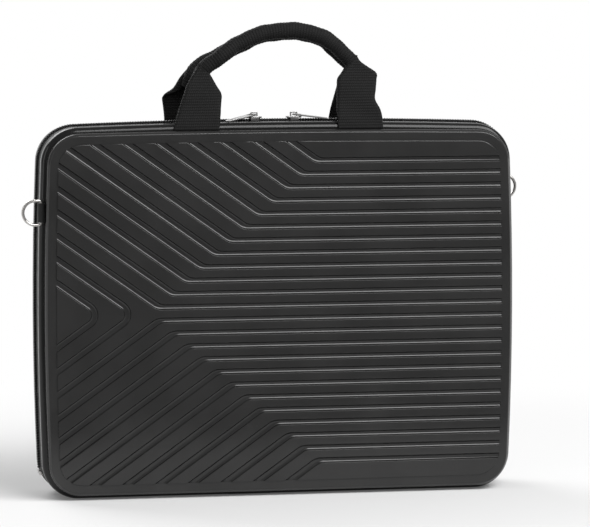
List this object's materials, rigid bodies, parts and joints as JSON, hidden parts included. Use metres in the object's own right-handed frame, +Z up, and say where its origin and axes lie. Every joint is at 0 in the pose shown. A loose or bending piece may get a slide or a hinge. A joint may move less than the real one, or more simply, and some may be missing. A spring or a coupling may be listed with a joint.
{
  "type": "laptop hard case",
  "caption": "Hard-shell laptop case with two grooved shells in bead rims, a zip round three sides, a fabric hinge, webbing handles and strap rings.",
  "frame": {"origin": "middle of the base on the surface that the case stands on, half way between the two halves", "axes": "+X to the viewer's right across the front, +Y from the front shell to the rear shell, +Z up"},
  "size_m": [0.435, 0.0742, 0.3957],
  "materials": {
    "shell": "dark charcoal moulded shell, semi-gloss",
    "rim": "black moulded bead rim, glossy",
    "cover": "black sleeve over the joint of the bead",
    "tape": "black woven zip tape",
    "coil": "black nylon zip coil",
    "gusset": "black woven hinge fabric",
    "lining": "dark grey padded lining",
    "webbing": "charcoal ribbed webbing",
    "elastic": "black elastic band",
    "chrome": "polished chrome plate",
    "nickel": "polished dark nickel plate",
    "steel": "plain steel clip"
  },
  "bodies": {
    "rear_half": {"rear_shell": "shell", "rear_rim": "rim", "rear_rim_joint_cover": "cover", "rear_zip_tape": "tape", "rear_zip_coil": "coil", "rear_lining": "lining", "hinge_gusset": "gusset", "left_zip_stop": "steel", "right_zip_stop": "steel", "right_ring_tab": "webbing", "left_laptop_strap": "elastic", "right_laptop_strap": "elastic"},
    "front_half": {"front_shell": "shell", "front_rim": "rim", "front_rim_joint_cover": "cover", "front_zip_tape": "tape", "front_zip_coil": "coil", "front_lining": "lining", "left_ring_tab": "webbing"},
    "front_handle": {"front_handle": "webbing"},
    "rear_handle": {"rear_handle": "webbing"},
    "left_slider": {"left_slider": "chrome"},
    "right_slider": {"right_slider": "chrome"},
    "left_pull": {"left_pull": "chrome"},
    "right_pull": {"right_pull": "chrome"},
    "left_d_ring": {"left_d_ring": "nickel"},
    "right_d_ring": {"right_d_ring": "nickel"}
  },
  "joints": [
    {"name": "lid_open", "type": "hinge", "parent": "rear_half", "child": "front_half", "pos_m": [0, 0, -0.0005], "axis": [1, 0, 0], "range_deg": [0, 180], "deforming": ["hinge_gusset"]},
    {"name": "front_handle_swing", "type": "hinge", "parent": "front_half", "child": "front_handle", "pos_m": [0, -0.0254, 0.3093], "axis": [1, 0, 0], "range_deg": [0, 103.6]},
    {"name": "rear_handle_swing", "type": "hinge", "parent": "rear_half", "child": "rear_handle", "pos_m": [0, 0.0254, 0.3093], "axis": [-1, 0, 0], "range_deg": [0, 103.6]},
    {"name": "left_slider_travel", "type": "hinge", "parent": "rear_half", "child": "left_slider", "pos_m": [0, 0, -4.6382], "axis": [0, 1, 0], "range_deg": [-1.54, 0]},
    {"name": "right_slider_travel", "type": "hinge", "parent": "rear_half", "child": "right_slider", "pos_m": [0, 0, -4.6382], "axis": [0, 1, 0], "range_deg": [0, 1.54]},
    {"name": "left_pull_flip", "type": "hinge", "parent": "left_slider", "child": "left_pull", "pos_m": [-0.01702, 0, 0.31917], "axis": [-0.5592, 0.829, 0], "range_deg": [0, 110]},
    {"name": "right_pull_flip", "type": "hinge", "parent": "right_slider", "child": "right_pull", "pos_m": [0.01702, 0, 0.31917], "axis": [-0.342, -0.9397, 0], "range_deg": [0, 110]},
    {"name": "left_ring_swing", "type": "hinge", "parent": "front_half", "child": "left_d_ring", "pos_m": [-0.2011, -0.0264, 0.2407], "axis": [0, 0, 1], "range_deg": [-65, 90]},
    {"name": "right_ring_swing", "type": "hinge", "parent": "rear_half", "child": "right_d_ring", "pos_m": [0.2011, 0.0264, 0.2537], "axis": [0, 0, 1], "range_deg": [-65, 90]}
  ]
}
